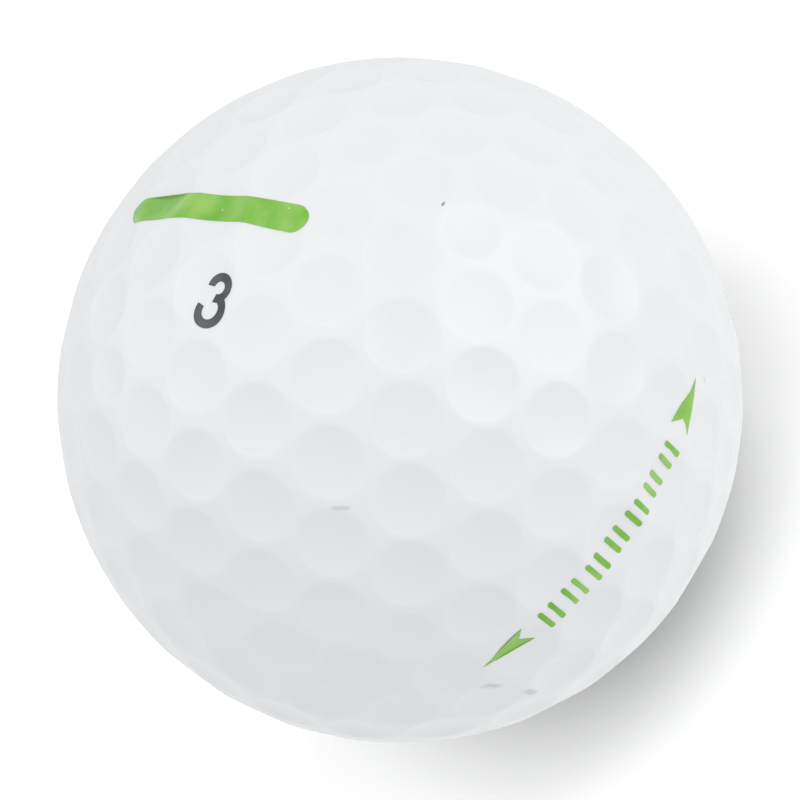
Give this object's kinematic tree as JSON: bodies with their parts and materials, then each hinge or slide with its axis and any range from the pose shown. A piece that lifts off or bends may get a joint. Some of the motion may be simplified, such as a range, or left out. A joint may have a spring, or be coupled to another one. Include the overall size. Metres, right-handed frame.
{
  "type": "golf ball",
  "caption": "Two-piece golf ball: solid rubber core in a dimpled white cover, with a printed bar and play number on both poles and a side stamp.",
  "frame": {"origin": "centre of the ball", "axes": "+Z from the centre out through the top bar and number print; -Y out through the middle of the side print; +X to the right of the side print as it faces a viewer"},
  "size_m": [0.0426, 0.0426, 0.0428],
  "materials": {
    "cover_ionomer": "white ionomer under a clear gloss coat",
    "core_rubber": "matte cured polybutadiene rubber",
    "green_ink": "pad-printed ink under the clear coat",
    "black_ink": "pad-printed ink under the clear coat"
  },
  "bodies": {
    "root": {"cover": "cover_ionomer", "core": "core_rubber", "top_bar_print": "green_ink", "top_number_print": "black_ink", "bottom_bar_print": "green_ink", "bottom_number_print": "black_ink", "side_arrow_print_left": "green_ink", "side_arrow_print_right": "green_ink", "side_dash_print": "green_ink"}
  },
  "joints": []
}
